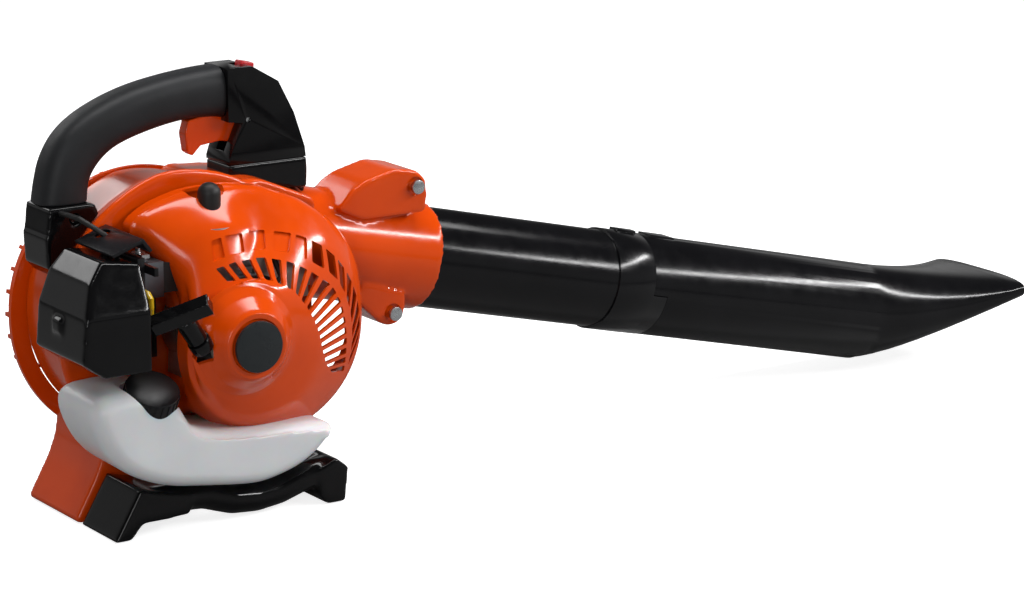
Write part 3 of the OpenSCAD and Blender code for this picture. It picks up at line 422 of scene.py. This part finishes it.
def circlePoint(centre, radius, angle):
    return centre[0] + radius * math.cos(angle), centre[1] + radius * math.sin(angle)


housing = {
    # lengths in mm, turns in degrees
    "narrow": 90, "grow": 15, "start": -8, "turn": 249, "hollowInset": -3.2, "eye": 60,
    "ductStart": 30, "ductEnd": 225, "ductRadius": 42.3, "boreStart": 60, "boreEnd": 250, "boreRadius": 39.8,
    "voxel": 1.6, "rounds": 8, "screws": ((197, 77), (176, -20)), "screwRadius": 7.4, "seatDepth": -35.4}


# The housing's outer radius grows round the scroll and falls back steeply under the duct.
def scrollRadius(angle):
    wound = (housing["start"] - angle) % 360
    if wound <= housing["turn"]:
        return housing["narrow"] + housing["grow"] * wound / housing["turn"]
    left = (wound - housing["turn"]) / (360 - housing["turn"])
    return housing["narrow"] + housing["grow"] * (1 - left) ** 1.5


def scrollRing(y, offset, count=160):
    ring = []
    for i in range(count):
        angle = 360 * i / count
        x, z = circlePoint((0, 0), scrollRadius(angle) + offset, math.radians(angle))
        ring.append(at(x, y, z))
    return ring


def onTube(s, side, up):
    return tubeStart + (s * tubeAlong + up * tubeUp) / 1000 + Vector((0, side / 1000, 0))


# y and the offset from the scroll radius, from the far face to the flared near lip
flareProfile = [(40, -12), (39.2, -7), (36.5, -2.6), (31, -0.2), (22, 0), (0, 0), (-14, 0.2), (-24, 2.2), (-32, 6.4),
                (-38, 10), (-42, 11.5), (-44.2, 10.4), (-45, 8)]
body = loft("fanHousing", [scrollRing(y, offset) for y, offset in flareProfile])
duct = rod("duct", onTube(housing["ductStart"], 0, 0), onTube(housing["ductEnd"], 0, 0), housing["ductRadius"], 64)
throat = prism("throat", [(-20, 60), (20, 102), (60, 99), (107, 79), (100, -2), (92, -30), (0, 0)], -42, 38, 6)
upperEar = prism("upperEar", [(128, 66), (141, 80), (152, 86), (179, 92.5), (199, 89), (207, 81), (208, 68), (206, 56),
                              (150, 56)], -38, 12, 3)
lowerEar = prism("lowerEar", [(140, -4), (165, -27), (173, -30.5), (182, -28), (187, -20), (188, -6), (150, 6)],
                 -38, 12, 3)
foot = prism("rearFoot", [(-101, -142), (-62, -142), (-58, -120), (-40, -98), (-56, -66), (-74, -70), (-76, -92),
                          (-82, -108)], -40, 40, 5)
fanHousing = joined("fanHousing", [body, duct, throat, upperEar, lowerEar, foot])
soften(fanHousing, housing["voxel"], housing["rounds"])
hollow = loft("hollow", [scrollRing(y, housing["hollowInset"], 96) for y in (37, -42)])
eye = rod("eye", at(0, 30, 0), at(0, 50, 0), housing["eye"])
bore = rod("bore", onTube(housing["boreStart"], 0, 0), onTube(housing["boreEnd"], 0, 0), housing["boreRadius"])
carve(fanHousing, hollow)
carve(fanHousing, eye)
carve(fanHousing, bore)
for x, z in housing["screws"]:
    carve(fanHousing, rod("screwSeat", at(x, -60, z), at(x, housing["seatDepth"], z), housing["screwRadius"], 32))
finishPiece(fanHousing, orangeAbs, "volute_far", ("volute_near",), angle=40)
print("fan housing ready")


shroud = {
    # rim and crown: centre x and z, radius and depth y; the rest in mm or counts
    "rim": ((42, -8), 80, -84), "crown": ((4, 42), 38, -93), "middle": (16, -11), "sides": 144, "crispness": 0.12,
    "wall": 2.6, "calmFrom": 46, "calmOver": 10, "calmRounds": 90, "blend": 3}
shroudEdge = [(-66, 79), (-57, 68), (-44, 53), (-34, 38), (-27, 22), (-24, 0), (-24, -39), (-27, -58), (-33, -66),
              (20, -67), (88, -66), (110, -60), (124, -44), (132, -20), (134, 8), (131, 30), (122, 50), (104, 70),
              (80, 86), (50, 98), (20, 103), (-14, 102), (-44, 94)]


# Where rays from a middle point meet the cover's outline.
def edgeRing(y, inset, middle=(38, 8)):
    ring = []
    for i in range(shroud["sides"]):
        angle = 2 * math.pi * i / shroud["sides"]
        ux, uz = math.cos(angle), math.sin(angle)
        reach = 0
        for (x1, z1), (x2, z2) in zip(shroudEdge, shroudEdge[1:] + shroudEdge[:1]):
            ax, az, bx, bz = x1 - middle[0], z1 - middle[1], x2 - x1, z2 - z1
            cross = ux * bz - uz * bx
            if abs(cross) < 1e-9:
                continue
            along = (ax * bz - az * bx) / cross
            share = (ax * uz - az * ux) / cross
            if -1e-6 <= share <= 1.000001 and along > 0:
                reach = max(reach, along)
        ring.append(at(middle[0] + (reach - inset) * ux, y, middle[1] + (reach - inset) * uz))
    return ring


# The rim and crown circles, blended softly where one passes the other.
def rimRing(drop, inset, middle=(36, 4)):
    ring = []
    for i in range(shroud["sides"]):
        angle = 2 * math.pi * i / shroud["sides"]
        ux, uz = math.cos(angle), math.sin(angle)
        reaches = []
        for centre, radius, depth in (shroud["rim"], shroud["crown"]):
            dx, dz = centre[0] - middle[0], centre[1] - middle[1]
            lead = dx * ux + dz * uz
            reaches.append(lead + math.sqrt(max(radius ** 2 - dx * dx - dz * dz + lead * lead, 0.0)))
        share = 1 / (1 + math.exp(-(reaches[1] - reaches[0]) / shroud["blend"]))
        reach = reaches[0] * (1 - share) + reaches[1] * share - inset
        depth = shroud["rim"][2] * (1 - share) + shroud["crown"][2] * share + drop
        ring.append(at(middle[0] + reach * ux, depth, middle[1] + reach * uz))
    return ring


def roundRing(centre, radius, y):
    ring = []
    for i in range(shroud["sides"]):
        x, z = circlePoint(centre, radius, 2 * math.pi * i / shroud["sides"])
        ring.append(at(x, y, z))
    return ring


def smoothRing(ring, rounds):
    for _ in range(rounds):
        ring = [(ring[i - 1] + 2 * ring[i] + ring[(i + 1) % len(ring)]) / 4 for i in range(len(ring))]
    return ring


# radius and y of the rings round the middle, then of the starter disc and the badge's seat round the crank
middleProfile = [(57, -108), (53, -110.6)]
discProfile = [(43.5, -119), (40, -120.6), (34, -126), (26.5, -135.5), (24, -138), (20.2, -138), (19.4, -136.4)]
dome = [smoothRing(edgeRing(-49, 0), 2), smoothRing(edgeRing(-62, 0.3), 2), smoothRing(edgeRing(-67, 3.5), 3),
        smoothRing(rimRing(3.5, -1.5), 2), smoothRing(rimRing(0, 2), 2)]
dome += [roundRing(shroud["middle"], radius, y) for radius, y in middleProfile]
dome += [roundRing((0, 0), radius, y) for radius, y in discProfile]
engineShroud = loft("engineShroud", crisp(dome, shroud["crispness"]), startCap=False)
applyModifier(engineShroud, "SUBSURF", levels=1, render_levels=1)
# The surface outside the starter disc is calmed, so that its reflections run in long curves.
outer = engineShroud.vertex_groups.new(name="outer")
for vert in engineShroud.data.vertices:
    spot = (vert.co - crank) * 1000
    outside = (math.hypot(spot.x, spot.z) - shroud["calmFrom"]) / shroud["calmOver"]
    share = min(max(outside, 0), 1) if spot.y < -60 else 0
    outer.add([vert.index], share, "REPLACE")
applyModifier(engineShroud, "SMOOTH", factor=0.5, iterations=shroud["calmRounds"], vertex_group="outer")
applyModifier(engineShroud, "SOLIDIFY", thickness=shroud["wall"] / 1000, offset=-1, use_even_offset=True)


vents = {
    # edges of the two rows from upper left round to lower right, x and z in mm
    "outer": [(-13, 72), (0, 75), (26, 74.5), (57, 69), (72, 63.5), (87, 55), (99.5, 44), (109, 31.5), (116, 18),
              (119.5, 4), (120.5, -10), (118, -23)],
    "middle": [(-16, 53), (2, 57), (27, 57.5), (51, 51.5), (71.5, 41), (93, 27), (101.5, 12.5), (105.5, -3),
               (107, -19), (106, -33), (104, -46)],
    "inner": [(-7.5, 41.5), (11.5, 42.5), (30, 38), (45.5, 28.5), (54.5, 16.5), (61.5, 4.5), (66.5, -7), (70, -19),
              (76, -32), (86, -42)],
    "outerSlots": 13, "blind": 5, "innerSlots": 18, "outerRib": 0.30, "innerRib": 0.36, "sink": 2.2,
    # how far each slot stays off its two edges, as shares of the row's width
    "outerCuts": (0.16, 0.10), "innerCuts": (0.04, 0.14)}


# The point at a share of the way along an edge, counted by its corners.
def alongEdge(points, share):
    place = min(max(share, 0.0), 1.0) * (len(points) - 1)
    i = min(int(place), len(points) - 2)
    rest = place - i
    (x1, z1), (x2, z2) = points[i], points[i + 1]
    return x1 + (x2 - x1) * rest, z1 + (z2 - z1) * rest


def slot(near, far, start, end, nearCut, farCut, nearY, farY, roundMm=1.1):
    outline = []
    for edge, cut, share in ((near, nearCut, start), (far, farCut, start), (far, farCut, end), (near, nearCut, end)):
        x, z = alongEdge(edge, share)
        otherX, otherZ = alongEdge(far if edge is near else near, share)
        outline.append((x + (otherX - x) * cut, z + (otherZ - z) * cut))
    return prism("slot", outline, nearY, farY, roundMm)


# The start and end of each slot along its row, with half a rib left at either side.
def slotShares(count, rib):
    step = 1 / count
    return [(i * step + step * rib / 2, (i + 1) * step - step * rib / 2) for i in range(count)]


def twin(piece):
    double = piece.copy()
    double.data = piece.data.copy()
    scene.collection.objects.link(double)
    return double


innerShares = slotShares(vents["innerSlots"], vents["innerRib"])
outerShares = slotShares(vents["outerSlots"], vents["outerRib"])
cutters = [slot(vents["inner"], vents["middle"], start, end, *vents["innerCuts"], -135, -68)
           for start, end in innerShares]
cutters += [slot(vents["middle"], vents["outer"], start, end, *vents["outerCuts"], -120, -60)
            for start, end in outerShares[vents["blind"]:]]
for cutter in cutters:
    carve(engineShroud, cutter)
# The first outer slots are blind: the wall is cut through and its own skin put back a little deeper.
blind = [slot(vents["middle"], vents["outer"], start, end, *vents["outerCuts"], -130, -60)
         for start, end in outerShares[:vents["blind"]]]
for cutter in blind:
    pocket = twin(cutter)
    pocketFloor = twin(engineShroud)
    carve(pocketFloor, pocket, operation="INTERSECT")
    for vert in pocketFloor.data.vertices:
        vert.co.y += vents["sink"] / 1000
    carve(engineShroud, cutter)
    engineShroud = joined("engineShroud", [engineShroud, pocketFloor])
sideOpening = prism("sideOpening", [(-140, 110), (-67, 80), (-45, 53), (-28, 22), (-25, -39), (-33, -62), (-140, -80)],
                    -84, -40)
carve(engineShroud, sideOpening)
plugOpening = prism("plugOpening", [(-15, 97), (17, 97), (17, 130), (-15, 130)], -86, -54, 7)
carve(engineShroud, plugOpening)
# The rope guide and the post beside it pass through the cover.
guideMouth = at(-38, -122, 3)
pullWay = Vector((-0.5854, -0.2011, 0.7854))
carve(engineShroud, rod("guideOpening", guideMouth - pullWay * 0.012, guideMouth + pullWay * 0.03, 9.2, 40))
carve(engineShroud, rod("postHole", at(-22, -80, 69), at(-22, -59, 69), 5, 32))
finishPiece(engineShroud, orangeAbs, "engine_cover", angle=35)
print("engine shroud ready")


grip = {
    # outer x, z, inner x, z, half width, all in mm, from the rear boot forward
    "sections": [(-106, 92, -67, 92, 18), (-103, 108, -65, 107, 18), (-98.5, 124, -58, 118, 18),
                 (-89, 140, -47, 127, 18), (-74, 153, -33, 133, 18), (-52, 164, -12, 138.5, 18),
                 (-27, 172, 8, 142, 18), (0, 177, 24, 143, 18), (26, 180, 38, 142.5, 18), (45, 181, 46, 141, 18)],
    "steps": 4, "sides": 40, "boxiness": 0.72, "bevel": 0.0012}


# A smooth curve from b to c that takes its slope from a and d.
def catmull(a, b, c, d, t):
    return 0.5 * (2 * b + (c - a) * t + (2 * a - 5 * b + 4 * c - d) * t * t + (3 * b - a - 3 * c + d) * t ** 3)


def smoothSections(rows, steps):
    rows = [Vector(row) for row in rows]
    filled = []
    for i in range(len(rows) - 1):
        a, b, c, d = rows[max(i - 1, 0)], rows[i], rows[i + 1], rows[min(i + 2, len(rows) - 1)]
        filled += [catmull(a, b, c, d, k / steps) for k in range(steps)]
    return filled + [rows[-1]]


def power(value, exponent):
    return math.copysign(abs(value) ** exponent, value)


def gripRing(section, sides, boxiness):
    outX, outZ, inX, inZ, halfWidth = section
    middle = Vector(((outX + inX) / 2, 0, (outZ + inZ) / 2))
    thick = Vector(((outX - inX) / 2, 0, (outZ - inZ) / 2))
    ring = []
    for k in range(sides):
        turn = 2 * math.pi * k / sides
        wide = Vector((0, halfWidth, 0)) * power(math.sin(turn), boxiness)
        ring.append(at(*(middle + thick * power(math.cos(turn), boxiness) + wide)))
    return ring


sections = smoothSections(grip["sections"], grip["steps"])
softSleeve = loft("softGripSleeve", [gripRing(section, grip["sides"], grip["boxiness"]) for section in sections])
applyModifier(softSleeve, "BEVEL", width=grip["bevel"], segments=3, limit_method="ANGLE",
              angle_limit=math.radians(60))
applyModifier(softSleeve, "SUBSURF", levels=1, render_levels=1)
finishPiece(softSleeve, softGripRubber, "soft_grip", angle=50)
print("grip ready")

tank = {"roundMm": 15, "nearY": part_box("fuel_tank")[0].y, "farY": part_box("fuel_tank")[1].y, "narrowing": 0.75,
        "farInset": 1.0, "voxel": 1.3, "rounds": 14, "capPlace": (-69, -105, -28), "capLean": 28, "capPocket": 22.5,
        "capDepth": 17.6}
tankEdge = [(-124, -30), (-115, -63), (-96, -87), (-64, -102), (-30, -107), (0, -111), (20, -112), (53, -103),
            (74, -86), (81, -71), (-36, -67.5), (-48, -46), (-57, -30), (-90, -25.5)]


# Each round cuts every corner of the outline a quarter of the way along its two sides.
def rounded(outline, rounds):
    for _ in range(rounds):
        cut = []
        for (x1, z1), (x2, z2) in zip(outline, outline[1:] + outline[:1]):
            cut += [(0.75 * x1 + 0.25 * x2, 0.75 * z1 + 0.25 * z2), (0.25 * x1 + 0.75 * x2, 0.25 * z1 + 0.75 * z2)]
        outline = cut
    return outline


def insetRing(outline, y, inset):
    ring = []
    for i, (x, z) in enumerate(outline):
        (x1, z1), (x2, z2) = outline[i - 1], outline[(i + 1) % len(outline)]
        run = math.hypot(x2 - x1, z2 - z1) or 1
        spot = at(x - inset * (z2 - z1) / run, 0, z + inset * (x2 - x1) / run)
        spot.y = y
        ring.append(spot)
    return ring


calmEdge = rounded(tankEdge, 3)
tankRings = []
for turn in range(90, -1, -15):
    bend = tank["roundMm"] * (1 - math.cos(math.radians(turn)))
    depth = tank["nearY"] + tank["roundMm"] / 1000 * (1 - math.sin(math.radians(turn)))
    tankRings.append(insetRing(calmEdge, depth, bend * tank["narrowing"]))
tankRings.append(insetRing(calmEdge, tank["farY"], tank["farInset"]))
tankShell = loft("fuelTankShell", tankRings)
soften(tankShell, tank["voxel"], tank["rounds"])
capAxis = Vector((0, -math.sin(math.radians(tank["capLean"])), math.cos(math.radians(tank["capLean"]))))
capTop = at(*tank["capPlace"])
carve(tankShell, rod("capPocket", capTop - capAxis * tank["capDepth"] / 1000, capTop + capAxis * 0.05,
                     tank["capPocket"], 64))
finishPiece(tankShell, tankHdpe, "fuel_tank", angle=40)
print("tank ready")

softened = {
    # node: name, voxel in mm, smoothing rounds
    "rear_boot": ("rearBootShell", 1.2, 10),
    "front_boot": ("frontBootShell", 1.2, 8),
    "trigger": ("triggerBlade", 0.7, 8),
    "stand": ("standFrame", 1.4, 22),
    "starter_grip": ("starterGripBar", 0.7, 6),
    "filter_cover": ("filterCoverShell", 1.2, 26),
}
for node, (name, voxelMm, rounds) in softened.items():
    piece = copyOf(node, name)
    soften(piece, voxelMm, rounds)
    finishPiece(piece, nodeFinish[node], node)
print("softened pieces ready")

bevelled = {
    # node: name, width in mm
    "trigger_housing": ("triggerHousingShell", 0.8), "intake_guard": ("intakeGrille", 0.5),
    "blower_tube": ("rearTube", 0.5), "nozzle": ("frontNozzle", 0.5),
    "badge": ("roundBadge", 0.6), "fuel_cap": ("fuelCapKnob", 0.4),
    "housing_screws": ("clampScrews", 0.6), "stop_switch": ("stopSlider", 1.0), "starter_guide": ("ropeGuide", 0.6),
    "plug_cap": ("plugBoot", 0.6), "carburettor": ("carburettorBody", 0.6), "choke_lever": ("chokeArm", 0.5),
    "cylinder_barrel": ("finnedCylinder", 0.4), "muffler": ("mufflerBox", 1.0), "air_baffle": ("airDeflector", 0.6),
    "filter_base": ("filterPlate", 0.8), "flywheel": ("flywheelFan", 0.4),
}
# The intake guard is drawn a little smaller and lower than its node; shifts in mm.
grille = {"scale": 0.955, "shiftX": -5, "shiftZ": -2}
for node, (name, width) in bevelled.items():
    piece = copyOf(node, name)
    if node == "intake_guard":
        for vert in piece.data.vertices:
            vert.co.x = crank.x + (vert.co.x - crank.x) * grille["scale"] + grille["shiftX"] / 1000
            vert.co.z = crank.z + (vert.co.z - crank.z) * grille["scale"] + grille["shiftZ"] / 1000
    applyModifier(piece, "BEVEL", width=width / 1000, segments=2, limit_method="ANGLE", angle_limit=math.radians(32),
                  use_clamp_overlap=True)
    finishPiece(piece, nodeFinish[node], node, angle=38)
print("bevelled pieces ready")
